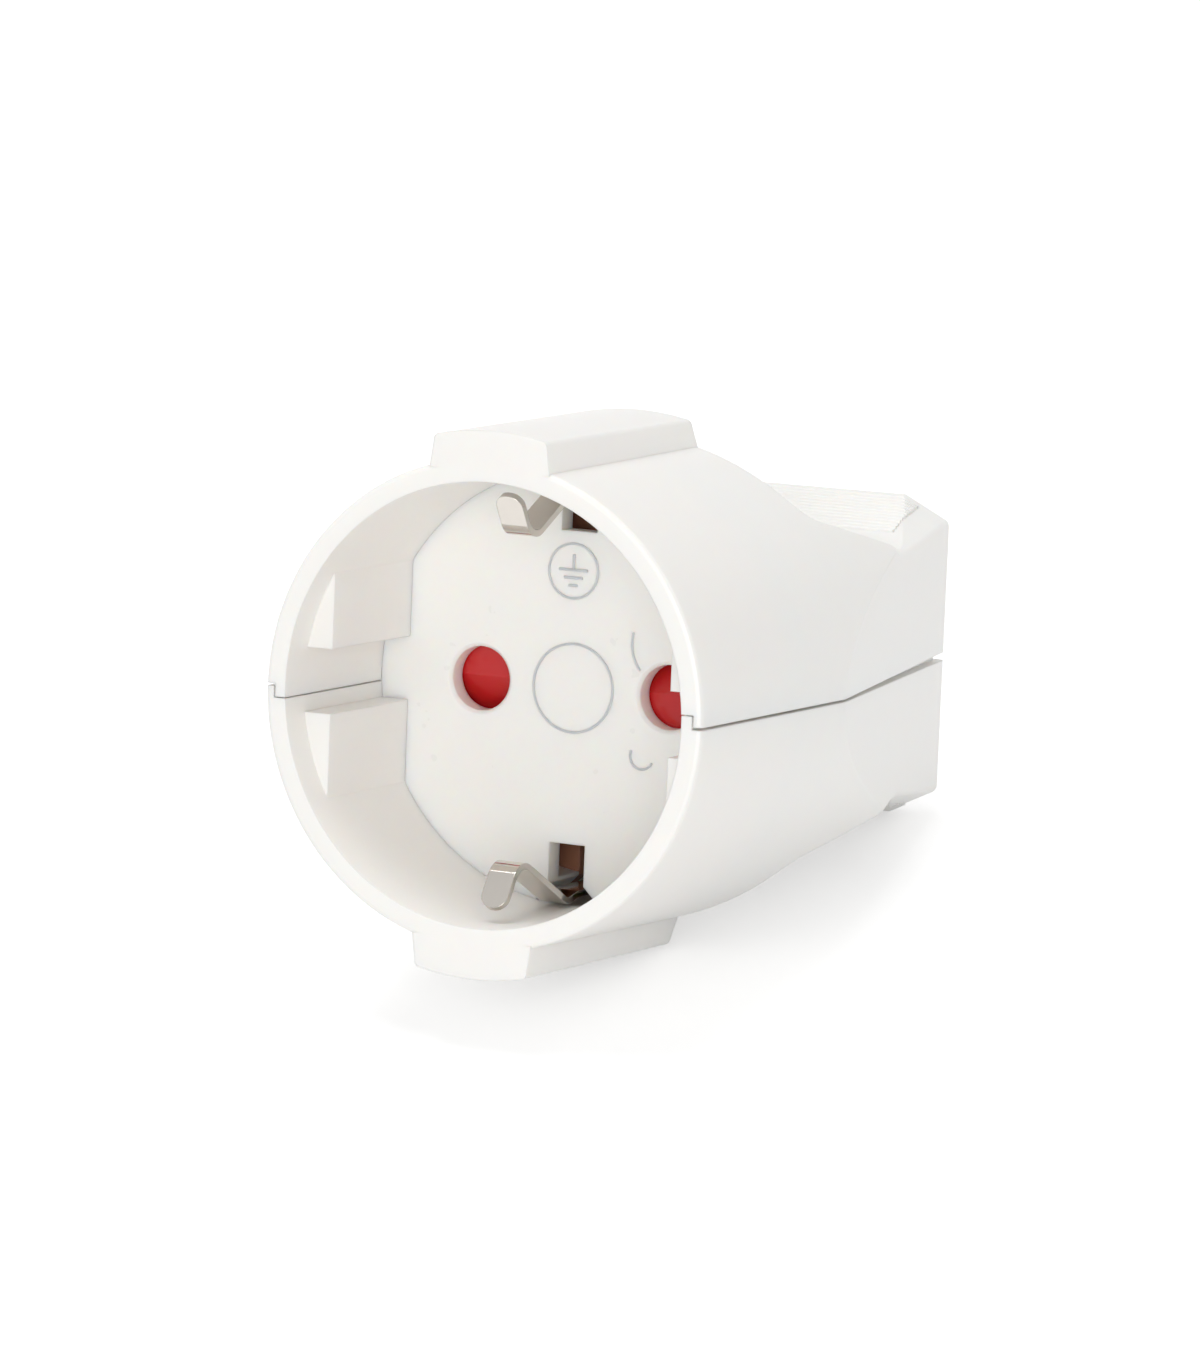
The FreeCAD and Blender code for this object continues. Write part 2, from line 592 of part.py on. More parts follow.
def safety_shutter():
    """The turning shutter: a hub with two ramped wings that cover the pin holes."""
    body = new_body("safety_shutter")
    front = "well_deep + face_t + shutter_play"
    hub = new_sketch(body, "XZ_Plane", f"-({front})")
    circle(hub, "0", "0", "shutter_hub_r")
    pad(body, hub, "shutter_t", Reversed=True)
    wings = new_sketch(body, "XZ_Plane", f"-({front})")
    end = "sqrt(shutter_reach^2 - shutter_half^2)"
    outline(wings, [(end, "-shutter_half", "shutter_reach"), (end, "shutter_half"),
                    (f"-{end}", "shutter_half", "shutter_reach"), (f"-{end}", "-shutter_half")])
    pad(body, wings, "shutter_t", Reversed=True)
    ramp = new_sketch(body, "YZ_Plane", "shutter_hub_r")
    outline(ramp, [(front, "0"), (f"{front} + shutter_ramp", "shutter_half + fit"),
                   (f"{front} - fit", "shutter_half + fit"), (f"{front} - fit", "0")])
    cut(body, ramp, "shutter_reach", Reversed=True)
    other = body.newObject("PartDesign::PolarPattern", "safety_shutter_ramps")
    other.Originals = [body.Tip]
    other.Axis = (hub, ["N_Axis"])
    other.Angle = 360
    other.Occurrences = 2
    body.Tip = other
    doc.recompute()
    bore = new_sketch(body, "XZ_Plane", f"-({front})")
    circle(bore, "0", "0", "pivot_r + pivot_play")
    cut(body, bore, "shutter_t")
    return body


def shutter_spring():
    """The square wire spiral wound round the pivot post behind the shutter."""
    wire, radius = number("coil_wire_r"), number("coil_r")
    growth = number("coil_wire_r + fit / 2")
    middle = number("well_deep + face_t + (chamber + shutter_play + shutter_t) / 2")
    here, side = Vector(radius, middle, 0), 1
    start = here
    path = []
    for index in range(int(number("coil_halves"))):
        bow = radius + index * growth
        centre = here - Vector(side * bow, 0, 0)
        after = centre - Vector(side * bow, 0, 0)
        path.append(Part.Arc(here, centre + Vector(0, 0, side * bow), after).toShape())
        here, side = after, -side
    end = here + Vector(0, 0, side * number("coil_leg"))
    path.append(Part.LineSegment(here, end).toShape())
    corners = [start + Vector(x * wire, y * wire, 0) for x, y in
               ((1, 1), (-1, 1), (-1, -1), (1, -1), (1, 1))]
    wound = Part.Wire(path).makePipeShell([Part.makePolygon(corners)], True, True)
    reach = number("coil_r - pivot_r - fit")
    tang = Part.makeBox(reach + wire, 2 * wire, wire, start - Vector(reach, wire, wire))
    spring = doc.addObject("Part::Feature", "shutter_spring")
    spring.Shape = wound.fuse(tang)
    return spring


def contact_carrier():
    """The insulating block behind the shutter, with a cell for each contact."""
    body = new_body("contact_carrier")
    front = "well_deep + face_t + chamber"
    plate = new_sketch(body, "XZ_Plane", f"-({front})")
    circle(plate, "0", "0", "skirt_r")
    pad(body, plate, "plate_t", Reversed=True)
    box = new_sketch(body, "XZ_Plane", f"-({front})")
    outline(box, [("-box_x", "-box_z"), ("box_x", "-box_z"), ("box_x", "box_z"),
                  ("-box_x", "box_z")])
    pad(body, box, f"box_y - ({front})", Reversed=True)
    round_edges(body, "wall / 2", lambda p, box: near(abs(p.x), number("box_x"))
                and near(abs(p.z), number("box_z")) and box.YLength > 1)
    round_edges(body, "earth_bend - strip_t / 2", lambda p, box: near(p.y, number("box_y"))
                and near(abs(p.z), number("box_z")))
    cells = new_sketch(body, "XZ_Plane", "-cell_front")
    pins = new_sketch(body, "XZ_Plane", f"-({front})")
    for side in ("", "-"):
        inner = f"{side}(pin_x - grip_half - strip_t - cell_play)"
        outer = f"{side}(pin_x + grip_half + strip_t + cell_play)"
        outline(cells, [(inner, "-web_z"), (outer, "-web_z"),
                        (outer, "cheek_top + cell_play"), (inner, "cheek_top + cell_play")])
        circle(pins, f"{side}pin_x", "0", "pin_hole_r")
    cut(body, cells, "box_y - cell_front")
    cut(body, pins, f"cell_front - ({front})")
    screws = new_sketch(body, "XZ_Plane", f"-({front})")
    for side in ("", "-"):
        circle(screws, f"{side}post_x", f"{side}post_z", "small_r + thread_play")
    cut(body, screws, "plate_t")
    earth_slots(body, front, "plate_t")
    return body


# Live parts

def contact(label, side):
    """A spring contact: two cheeks that grip the pin, and a tail into the terminal."""
    body = new_body(label)
    centre = f"{side}pin_x"
    section = new_sketch(body, "XZ_Plane", "-contact_y")
    wide = "(grip_half + strip_t)"
    outline(section, [(f"{centre} - {wide}", "-web_z"), (f"{centre} + {wide}", "-web_z"),
                      (f"{centre} + {wide}", "cheek_top"),
                      (f"{centre} + grip_half", "cheek_top"),
                      (f"{centre} + grip_half", "strip_t - web_z"),
                      (f"{centre} - grip_half", "strip_t - web_z"),
                      (f"{centre} - grip_half", "cheek_top"),
                      (f"{centre} - {wide}", "cheek_top")])
    pad(body, section, "contact_long", Reversed=True)
    round_edges(body, "strip_t * 0.9", lambda p, box: near(p.z, number("-web_z"))
                and box.YLength > 1)
    round_edges(body, "cheek_lead", lambda p, box: near(box.YMax, number("contact_y"))
                and near(abs(p.x - number(centre)), number("grip_half")) and box.ZLength > 1,
                kind="Chamfer")
    tail = new_sketch(body, "XY_Plane", "-web_z")
    outline(tail, [(f"{centre} - tail_half_w", "contact_y + contact_long - wall"),
                   (f"{centre} + tail_half_w", "contact_y + contact_long - wall"),
                   (f"{centre} + tail_half_w", "tail_end"),
                   (f"{centre} - tail_half_w", "tail_end")])
    pad(body, tail, "strip_t")
    return body


def terminal(label, centre, half, front, tunnel_front):
    """A brass terminal block with a wire tunnel and a tapped hole above it."""
    body = new_body(label)
    block = new_sketch(body, "XZ_Plane", f"-({front})")
    outline(block, [(f"{centre} - {half}", "-term_low"), (f"{centre} + {half}", "-term_low"),
                    (f"{centre} + {half}", "term_top"), (f"{centre} - {half}", "term_top")])
    pad(body, block, "term_long", Reversed=True)
    round_edges(body, "block_round", lambda p, box: box.YLength > 1)
    tunnel = new_sketch(body, "XZ_Plane", f"-({tunnel_front})")
    outline(tunnel, [(f"{centre} - tunnel_half", "-web_z"),
                     (f"{centre} + tunnel_half", "-web_z"),
                     (f"{centre} + tunnel_half", "tunnel_top"),
                     (f"{centre} - tunnel_half", "tunnel_top")])
    cut(body, tunnel, "term_long")
    tapped = new_sketch(body, "XY_Plane", "tunnel_top - fit")
    circle(tapped, centre, f"{front} + term_long / 2", "small_r + thread_play")
    cut(body, tapped, "term_top", Reversed=True)
    return body


def strip_outline(points, radii, thick):
    """The edges of a bent strip in the YZ plane, from its centre line and bend radii."""
    sides = {1: [], -1: []}
    for side in sides:
        path = []
        for index, point in enumerate(points):
            if index in (0, len(points) - 1):
                run = points[1] - points[0] if index == 0 else points[-1] - points[-2]
                across = Vector(0, -run.z, run.y).normalize()
                path.append((point + across * side * thick / 2,))
                continue
            come = (point - points[index - 1]).normalize()
            go = (points[index + 1] - point).normalize()
            turn = math.copysign(1, come.y * go.z - come.z * go.y)
            half = come.getAngle(go) / 2
            inwards = (go - come).normalize()
            centre = point + inwards * radii[index - 1] / math.cos(half)
            radius = radii[index - 1] - turn * side * thick / 2
            across = [Vector(0, -d.z, d.y) * -turn * radius for d in (come, go)]
            middle = centre - inwards * radius
            path.append((centre + across[0], middle, centre + across[1]))
        sides[side] = path
    edges = []
    for side, path in sides.items():
        for here, after in zip(path, path[1:]):
            edges.append(Part.LineSegment(here[-1], after[0]).toShape())
        edges += [Part.Arc(*stop).toShape() for stop in path if len(stop) == 3]
    for end in (0, -1):
        edges.append(Part.LineSegment(sides[1][end][0], sides[-1][end][0]).toShape())
    return Part.Wire(Part.__sortEdges__(edges))


def earth_strip():
    """One bent strip: both side clips and the bridge behind the carrier."""
    over = number("box_z + earth_play + strip_t / 2")
    behind = number("box_y + strip_t / 2")
    plate = number("well_deep + face_t + chamber + plate_t + earth_play + strip_t / 2")
    arm = number("earth_arm_z")
    half = [(behind, over), (plate, over), (plate, arm), (number("well_deep"), arm),
            (number("earth_wall_y"), number("earth_wall_z")),
            (number("earth_nose_y"), number("earth_nose_z")),
            (number("earth_tip_y"), number("earth_tip_z"))]
    bend = number("earth_bend")
    bends = [bend, bend, bend, bend, bend, number("earth_nose_r")]
    line = [Vector(0, y, z) for y, z in reversed(half)] + [Vector(0, y, -z) for y, z in half]
    wire = strip_outline(line, bends[::-1] + bends, number("strip_t"))
    width = number("2 * earth_w")
    strip = Part.Face(wire).extrude(Vector(width, 0, 0))
    strip.translate(Vector(-width / 2, 0, 0))
    tips = [edge for edge in strip.Edges
            if edge.BoundBox.XLength < 0.01 and edge.Length < number("strip_t") + 0.01
            and edge.BoundBox.YMin < number("earth_nose_y")]
    piece = doc.addObject("Part::Feature", "earth_strip")
    piece.Shape = strip.makeFillet(number("earth_w - fit"), tips)
    return piece


# Fasteners and the cord clamp

def screw(label, shank, head, head_high, length, place, turned):
    """A slotted screw, its head's seat at place and its axis turned from +Z."""
    body = new_body(label)
    profile = new_sketch(body, "XZ_Plane")
    outline(profile, [("0", f"-({length})"), (f"{shank} - fit", f"-({length})"),
                      (shank, f"-({length}) + 2 * fit"), (shank, "0"), (head, "0"),
                      (head, f"{head_high} * 2 / 3"), (f"{head} * 2 / 3", head_high),
                      ("0", head_high)])
    feature(body, "Revolution", profile, ReferenceAxis=(profile, ["V_Axis"]))
    slot = new_sketch(body, "XY_Plane", head_high)
    outline(slot, [("-barrel_r", "-slot_w / 2"), ("barrel_r", "-slot_w / 2"),
                   ("barrel_r", "slot_w / 2"), ("-barrel_r", "slot_w / 2")])
    cut(body, slot, "slot_d")
    body.Placement = Placement(Vector(*map(number, place)), turned)
    return body


def cord_clamp():
    """The arched bridge that holds the cord down on its saddle."""
    body = new_body("cord_clamp")
    section = new_sketch(body, "XZ_Plane", "-(clamp_y - clamp_long / 2)")
    outline(section, [("-clamp_half", "-clamp_seat"), ("clamp_half", "-clamp_seat"),
                      ("clamp_half", "clamp_ear"), ("clamp_arch", "clamp_ear"),
                      ("clamp_arch - wall / 2", "clamp_top"),
                      ("-(clamp_arch - wall / 2)", "clamp_top"), ("-clamp_arch", "clamp_ear"),
                      ("-clamp_half", "clamp_ear")])
    pad(body, section, "clamp_long", Reversed=True)
    channel = new_sketch(body, "XZ_Plane", "-(clamp_y - clamp_long / 2)")
    circle(channel, "0", "0", "cord_r")
    cut(body, channel, "clamp_long")
    holes = new_sketch(body, "XY_Plane", "-wall")
    for side in ("", "-"):
        circle(holes, f"{side}clamp_x", "clamp_y", "small_r + thread_play")
    cut(body, holes, "clamp_top", Reversed=True)
    return body


UPWARD = Rotation()
DOWNWARD = Rotation(Vector(1, 0, 0), 180)
REARWARD = Rotation(Vector(1, 0, 0), -90)
HALF_TURN = Placement(Vector(), Rotation(Vector(0, 1, 0), 180))

pieces = [upper_housing(), lower_housing(), socket_face(), safety_shutter(), shutter_spring(),
          contact_carrier(), earth_strip(), cord_clamp()]
pieces[1].Placement = HALF_TURN
for name, side in (("live", "-"), ("neutral", "")):
    pieces.append(contact(f"{name}_contact", side))
    pieces.append(terminal(f"{name}_terminal", f"{side}pin_x", "term_half", "box_y", "box_y"))
    pieces.append(screw(f"{name}_terminal_screw", "small_r", "small_head_r", "small_head_t",
                        "term_top - tunnel_top",
                        (f"{side}pin_x", "box_y + term_long / 2", "term_top"), UPWARD))
pieces.append(terminal("earth_terminal", "0", "earth_half", "box_y + strip_t",
                       "box_y + strip_t + earth_wall"))
pieces.append(screw("earth_terminal_screw", "small_r", "small_head_r", "small_head_t",
                    "term_top - tunnel_top",
                    ("0", "box_y + strip_t + term_long / 2", "term_top"), UPWARD))
for name, side in (("left", "-"), ("right", "")):
    pieces.append(screw(f"clamp_screw_{name}", "small_r", "small_head_r", "small_head_t",
                        "clamp_ear + clamp_screw_end",
                        (f"{side}clamp_x", "clamp_y", "clamp_ear"), UPWARD))
    pieces.append(screw(f"housing_screw_{name}", "thread_r", "head_r", "head_t",
                        "screw_seat + screw_end",
                        (f"{side}screw_x", "screw_y", "-screw_seat"), DOWNWARD))
for name, side in (("upper", ""), ("lower", "-")):
    pieces.append(screw(f"insert_screw_{name}", "small_r", "small_head_r", "small_head_t",
                        "insert_long",
                        (f"{side}post_x", "well_deep + face_t + chamber + plate_t",
                         f"{side}post_z"), REARWARD))

# The connector rests on the rear edge of the lower pad and on the crest of the lower ramp.
pad_drop = number("pad_r + pad_rise - crest_z")
rest = Rotation(Vector(1, 0, 0), -math.degrees(math.atan2(pad_drop, number("body_y - pad_y"))))
for piece in pieces:
    piece.Placement = Placement(Vector(), rest) * piece.Placement

broken = [item.Name for item in doc.Objects if {"Invalid", "Error"} & set(item.State)]
if broken:
    raise ValueError("failed: " + ", ".join(broken))
for piece in pieces:
    if piece.Shape.isNull() or not piece.Shape.isValid() or len(piece.Shape.Solids) != 1:
        raise ValueError(f"{piece.Label} is not one valid solid")
os.makedirs("parts", exist_ok=True)
for piece in pieces:
    piece.Shape.exportStep(f"parts/{piece.Label}.step")
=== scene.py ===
import json
import math

import bpy
from mathutils import Matrix, Vector


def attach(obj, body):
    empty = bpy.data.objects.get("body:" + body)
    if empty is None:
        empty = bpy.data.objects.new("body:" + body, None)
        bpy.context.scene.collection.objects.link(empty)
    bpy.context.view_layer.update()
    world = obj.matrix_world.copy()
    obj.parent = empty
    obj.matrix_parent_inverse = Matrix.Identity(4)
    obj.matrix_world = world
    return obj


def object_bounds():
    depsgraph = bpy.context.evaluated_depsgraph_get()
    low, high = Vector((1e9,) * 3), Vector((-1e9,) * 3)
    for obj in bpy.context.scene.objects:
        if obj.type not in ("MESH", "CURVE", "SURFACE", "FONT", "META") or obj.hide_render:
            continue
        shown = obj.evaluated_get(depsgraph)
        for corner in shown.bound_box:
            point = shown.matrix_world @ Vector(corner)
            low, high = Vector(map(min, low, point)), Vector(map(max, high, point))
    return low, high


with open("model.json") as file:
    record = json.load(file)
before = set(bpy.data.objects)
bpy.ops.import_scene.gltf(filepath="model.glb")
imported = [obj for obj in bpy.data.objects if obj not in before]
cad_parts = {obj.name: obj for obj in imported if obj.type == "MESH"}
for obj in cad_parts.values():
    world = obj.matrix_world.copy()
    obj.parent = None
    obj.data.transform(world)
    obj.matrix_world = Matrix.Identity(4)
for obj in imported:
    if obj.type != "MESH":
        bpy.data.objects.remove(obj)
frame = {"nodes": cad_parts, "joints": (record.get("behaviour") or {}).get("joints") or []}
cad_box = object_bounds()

# The connector lies on its lower pad and lower ramp, so its own axis is tipped mouth up.
# The pieces below are drawn in mm on the connector's own axes: x across, y into the body,
# z up, with the centre of the mouth as origin. They are then laid down with it.

MM = 0.001
inward = Vector(frame["joints"][0]["axis"])
across = Vector((1, 0, 0))
LAID_DOWN = Matrix((across, inward, across.cross(inward))).transposed().to_4x4()

# Camera: a long lens from the front right, a little above the connector's axis.
# It was fitted to the rim, the pin holes and the edges of the housing.

TURNED, RAISED, ROLLED = 0.473341761, 0.123606932, 0.040395970
AWAY, AIM_DEEP, AIM_RIGHT, AIM_UP = 600.0, 30.0, 3.35195083, 0.950780414
LONG_SIDE, FOCAL_PIXELS, SENSOR = 1372, 6587.36104, 36.0
SEES_FROM, SEES_TO = 0.05, 20

backward = Vector((math.sin(TURNED) * math.cos(RAISED), -math.cos(TURNED) * math.cos(RAISED),
                   math.sin(RAISED)))
right = (-backward).cross(Vector((0, 0, 1))).normalized()
up = right.cross(-backward)
right, up = (math.cos(ROLLED) * right + math.sin(ROLLED) * up,
             -math.sin(ROLLED) * right + math.cos(ROLLED) * up)
stand = Vector((0, AIM_DEEP, 0)) + backward * AWAY - right * AIM_RIGHT - up * AIM_UP
lens = bpy.data.cameras.new("Lens")
lens.sensor_width = SENSOR
lens.lens = FOCAL_PIXELS * SENSOR / LONG_SIDE
lens.clip_start, lens.clip_end = SEES_FROM, SEES_TO
camera = bpy.data.objects.new("Camera", lens)
camera.matrix_world = LAID_DOWN @ Matrix.Translation(stand * MM) @ Matrix(
    (right, up, backward)).transposed().to_4x4()
bpy.context.scene.collection.objects.link(camera)
bpy.context.scene.camera = camera
bpy.context.scene.view_settings.view_transform = "Standard"

# Tabletop: a wide flat sheet of white studio paper. It is lit like the connector and keeps
# its shadow, and it is lifted towards white where the camera or a bright surface shows it.

TABLE_SIZE = 6.0
TABLE_COLOUR = (0.80, 0.80, 0.80, 1)
TABLE_LIFT = 0.46


def new_material(name):
    """A material with empty nodes and its output."""
    material = bpy.data.materials.new(name)
    material.use_nodes = True
    nodes = material.node_tree.nodes
    nodes.clear()
    return material, nodes, material.node_tree.links, nodes.new("ShaderNodeOutputMaterial")


def background_seen(nodes, links):
    """1 where the background is seen directly, in a reflection or through glass, else 0."""
    path = nodes.new("ShaderNodeLightPath")
    total = path.outputs["Is Camera Ray"]
    for ray in ("Is Glossy Ray", "Is Transmission Ray"):
        more = nodes.new("ShaderNodeMath")
        more.operation = "MAXIMUM"
        links.new(total, more.inputs[0])
        links.new(path.outputs[ray], more.inputs[1])
        total = more.outputs[0]
    return total


bpy.ops.object.select_all(action="DESELECT")
bpy.ops.mesh.primitive_plane_add(size=TABLE_SIZE, location=(0, 0, cad_box[0].z))
tabletop = bpy.context.object
tabletop.name = "tabletop"
material, nodes, links, output = new_material("White sweep")
paper = nodes.new("ShaderNodeBsdfDiffuse")
paper.inputs["Color"].default_value = TABLE_COLOUR
lift = nodes.new("ShaderNodeEmission")
amount = nodes.new("ShaderNodeMath")
amount.operation = "MULTIPLY"
amount.inputs[1].default_value = TABLE_LIFT
both = nodes.new("ShaderNodeAddShader")
links.new(background_seen(nodes, links), amount.inputs[0])
links.new(amount.outputs[0], lift.inputs["Strength"])
links.new(paper.outputs[0], both.inputs[0])
links.new(lift.outputs[0], both.inputs[1])
links.new(both.outputs[0], output.inputs["Surface"])
tabletop.data.materials.append(material)

# Studio light: an even white room and three large soft boxes. One stands beside the camera
# and fills the well, one lights the right side and one hangs over the grip.

ROOM = 0.60
world = bpy.data.worlds.new("Studio")
bpy.context.scene.world = world
world.use_nodes = True
nodes, links = world.node_tree.nodes, world.node_tree.links
nodes.clear()
output = nodes.new("ShaderNodeOutputWorld")
seen = nodes.new("ShaderNodeBackground")
room = nodes.new("ShaderNodeBackground")
room.inputs["Strength"].default_value = ROOM
choose = nodes.new("ShaderNodeMixShader")
links.new(background_seen(nodes, links), choose.inputs["Fac"])
links.new(room.outputs[0], choose.inputs[1])
links.new(seen.outputs[0], choose.inputs[2])
links.new(choose.outputs[0], output.inputs["Surface"])


def soft_box(name, place, size, power):
    """A square soft box that faces the connector, in metres and watts."""
    light = bpy.data.lights.new(name, "AREA")
    light.size = size
    light.energy = power
    holder = bpy.data.objects.new(name, light)
    holder.location = place
    holder.rotation_mode = "QUATERNION"
    holder.rotation_quaternion = (-Vector(place)).to_track_quat("-Z", "Y")
    bpy.context.scene.collection.objects.link(holder)


soft_box("Front box", place=(0.42, -1.04, 0.30), size=0.7, power=5.6)
soft_box("Right box", place=(0.95, 0.10, 0.50), size=0.6, power=0.5)
soft_box("Top box", place=(-0.15, 0.10, 1.10), size=0.6, power=6.0)

# Housing: two half shells and the cord clamp, injection moulded in cream-white plastic with
# a fine satin texture from the tool. Two screws from below hold the shells together.

SHELL_COLOUR = (0.925, 0.910, 0.880)
PLASTIC_IOR = 1.5
GLOW_DEPTH = 0.002
GLOW_REACH = (1.0, 0.7, 0.5)
FLOW_SCALE, FLOW_DETAIL = 420, 2
FLOW_SHADE = 0.99
GLOSS_DRIFT = 0.015
GRAIN_SCALE, GRAIN_DETAIL = 5200, 3
GRAIN_HIGH = 0.00004
PLASTIC_EDGE = 0.00022
EDGE_SAMPLES = 6


def moulded(name, colour, roughness, texture, glow=0.0):
    """Moulded plastic: slightly uneven colour and gloss, a fine texture, softened edges."""
    material, nodes, links, output = new_material(name)
    plastic = nodes.new("ShaderNodeBsdfPrincipled")
    plastic.inputs["IOR"].default_value = PLASTIC_IOR
    plastic.inputs["Subsurface Weight"].default_value = glow
    plastic.inputs["Subsurface Radius"].default_value = GLOW_REACH
    plastic.inputs["Subsurface Scale"].default_value = GLOW_DEPTH
    place = nodes.new("ShaderNodeTexCoord")
    flow = nodes.new("ShaderNodeTexNoise")
    flow.inputs["Scale"].default_value = FLOW_SCALE
    flow.inputs["Detail"].default_value = FLOW_DETAIL
    tint = nodes.new("ShaderNodeValToRGB")
    tint.color_ramp.interpolation = "EASE"
    for stop, shade in zip(tint.color_ramp.elements, (FLOW_SHADE, 1.0)):
        stop.color = (*(c * shade for c in colour), 1)
    gloss = nodes.new("ShaderNodeMapRange")
    gloss.inputs["To Min"].default_value = roughness - GLOSS_DRIFT
    gloss.inputs["To Max"].default_value = roughness + GLOSS_DRIFT
    grain = nodes.new("ShaderNodeTexNoise")
    grain.inputs["Scale"].default_value = GRAIN_SCALE
    grain.inputs["Detail"].default_value = GRAIN_DETAIL
    relief = nodes.new("ShaderNodeBump")
    relief.inputs["Strength"].default_value = texture
    relief.inputs["Distance"].default_value = GRAIN_HIGH
    corner = nodes.new("ShaderNodeBevel")
    corner.samples = EDGE_SAMPLES
    corner.inputs["Radius"].default_value = PLASTIC_EDGE
    for texture_node in (flow, grain):
        links.new(place.outputs["Object"], texture_node.inputs["Vector"])
    links.new(flow.outputs["Fac"], tint.inputs["Fac"])
    links.new(flow.outputs["Fac"], gloss.inputs["Value"])
    links.new(tint.outputs["Color"], plastic.inputs["Base Color"])
    links.new(gloss.outputs["Result"], plastic.inputs["Roughness"])
    links.new(grain.outputs["Fac"], relief.inputs["Height"])
    links.new(corner.outputs["Normal"], relief.inputs["Normal"])
    links.new(relief.outputs["Normal"], plastic.inputs["Normal"])
    links.new(plastic.outputs[0], output.inputs["Surface"])
    return material


def finish_nodes(material, *names):
    """Give CAD nodes their finish."""
    for name in names:
        node = frame["nodes"][name]
        node.data.materials.clear()
        node.data.materials.append(material)


finish_nodes(moulded("Cream shell plastic", SHELL_COLOUR, roughness=0.34, texture=0.05,
                     glow=0.28), "upper_housing", "lower_housing", "cord_clamp")

# Socket face: the disc at the bottom of the well, moulded in a smoother plastic than the
# shells.
# Its colour carries painted light: it is lighter and warmer than theirs, for the bright, warm
# light deep in the well. It is held in a groove between them.

# Painted light: lighter and warmer than the shells, for the bright warm light in the well.
FACE_COLOUR_WITH_PAINTED_LIGHT = (0.960, 0.922, 0.888)
face_plastic = moulded("Face plastic with painted well light", FACE_COLOUR_WITH_PAINTED_LIGHT, roughness=0.28, texture=0.03,
                       glow=0.6)
finish_nodes(face_plastic, "socket_face")

# Contact carrier: the block behind the shutter, pressed from insulating resin and screwed to
# the socket face. The earth slots show it. Its brown is painted shade and painted reflection:
# it stands in for the dark, warm shade and the brass glints deep in the slots.

# The brown is painted shade and painted brass reflection for the dark earth slots.
CARRIER_COLOUR_WITH_PAINTED_SHADE = (0.42, 0.185, 0.11)
finish_nodes(moulded("Insulating resin with painted slot shade", CARRIER_COLOUR_WITH_PAINTED_SHADE, roughness=0.42,
                     texture=0.08), "contact_carrier")

# Shutter: a polished red moulding that turns on the post behind the socket face. It shows
# through both pin holes.

SHUTTER_COLOUR = (0.56, 0.015, 0.017)
finish_nodes(moulded("Red shutter plastic", SHUTTER_COLOUR, roughness=0.12, texture=0.02,
                     glow=0.05), "safety_shutter")

# Earth strip: both side clips and their bridge, bent from one bright-plated spring strip.
# Fine rolling lines run along it, and it is slipped over the carrier.

NICKEL_COLOUR = (0.69, 0.65, 0.60)
LINE_STRETCH = (1.0, 0.06, 0.06)
LINE_DETAIL = 3
LINE_HIGH = 0.00003
PATCH_SCALE = 300
PATCH_SHADE = 0.86
GLOSS_LOW, GLOSS_HIGH = 0.7, 1.3
METAL_EDGE = 0.00012


def metal(name, colour, roughness, line_scale, line_strength):
    """Drawn or plated metal: fine lines along the body, patchy gloss, softened edges."""
    material, nodes, links, output = new_material(name)
    body = nodes.new("ShaderNodeBsdfPrincipled")
    body.inputs["Metallic"].default_value = 1.0
    place = nodes.new("ShaderNodeTexCoord")
    stretch = nodes.new("ShaderNodeMapping")
    stretch.inputs["Scale"].default_value = LINE_STRETCH
    lines = nodes.new("ShaderNodeTexNoise")
    lines.inputs["Scale"].default_value = line_scale
    lines.inputs["Detail"].default_value = LINE_DETAIL
    patches = nodes.new("ShaderNodeTexNoise")
    patches.inputs["Scale"].default_value = PATCH_SCALE
    tint = nodes.new("ShaderNodeValToRGB")
    for stop, shade in zip(tint.color_ramp.elements, (PATCH_SHADE, 1.0)):
        stop.color = (*(c * shade for c in colour), 1)
    gloss = nodes.new("ShaderNodeMapRange")
    gloss.inputs["To Min"].default_value = roughness * GLOSS_LOW
    gloss.inputs["To Max"].default_value = roughness * GLOSS_HIGH
    relief = nodes.new("ShaderNodeBump")
    relief.inputs["Strength"].default_value = line_strength
    relief.inputs["Distance"].default_value = LINE_HIGH
    corner = nodes.new("ShaderNodeBevel")
    corner.samples = EDGE_SAMPLES
    corner.inputs["Radius"].default_value = METAL_EDGE
    links.new(place.outputs["Object"], stretch.inputs["Vector"])
    links.new(stretch.outputs["Vector"], lines.inputs["Vector"])
    links.new(place.outputs["Object"], patches.inputs["Vector"])
    links.new(patches.outputs["Fac"], tint.inputs["Fac"])
    links.new(patches.outputs["Fac"], gloss.inputs["Value"])
    links.new(tint.outputs["Color"], body.inputs["Base Color"])
    links.new(gloss.outputs["Result"], body.inputs["Roughness"])
    links.new(lines.outputs["Fac"], relief.inputs["Height"])
    links.new(corner.outputs["Normal"], relief.inputs["Normal"])
    links.new(relief.outputs["Normal"], body.inputs["Normal"])
    links.new(body.outputs[0], output.inputs["Surface"])
    return material


finish_nodes(metal("Bright nickel plate", NICKEL_COLOUR, roughness=0.09, line_scale=6000,
                   line_strength=0.10), "earth_strip")

# Contacts and terminals: the contacts are bent from brass strip and the terminals sawn from
# drawn brass bar. They sit in the carrier's cells and behind it.

BRASS_COLOUR = (0.80, 0.60, 0.28)
finish_nodes(metal("Rolled brass", BRASS_COLOUR, roughness=0.26, line_scale=4000,
                   line_strength=0.2), "live_contact", "neutral_contact", "live_terminal",
             "neutral_terminal", "earth_terminal")

# Screws and shutter spring: turned slotted screws and a wound spring, all zinc-plated steel.
# The heads of the two housing screws are sunk in the underside of the lower shell.

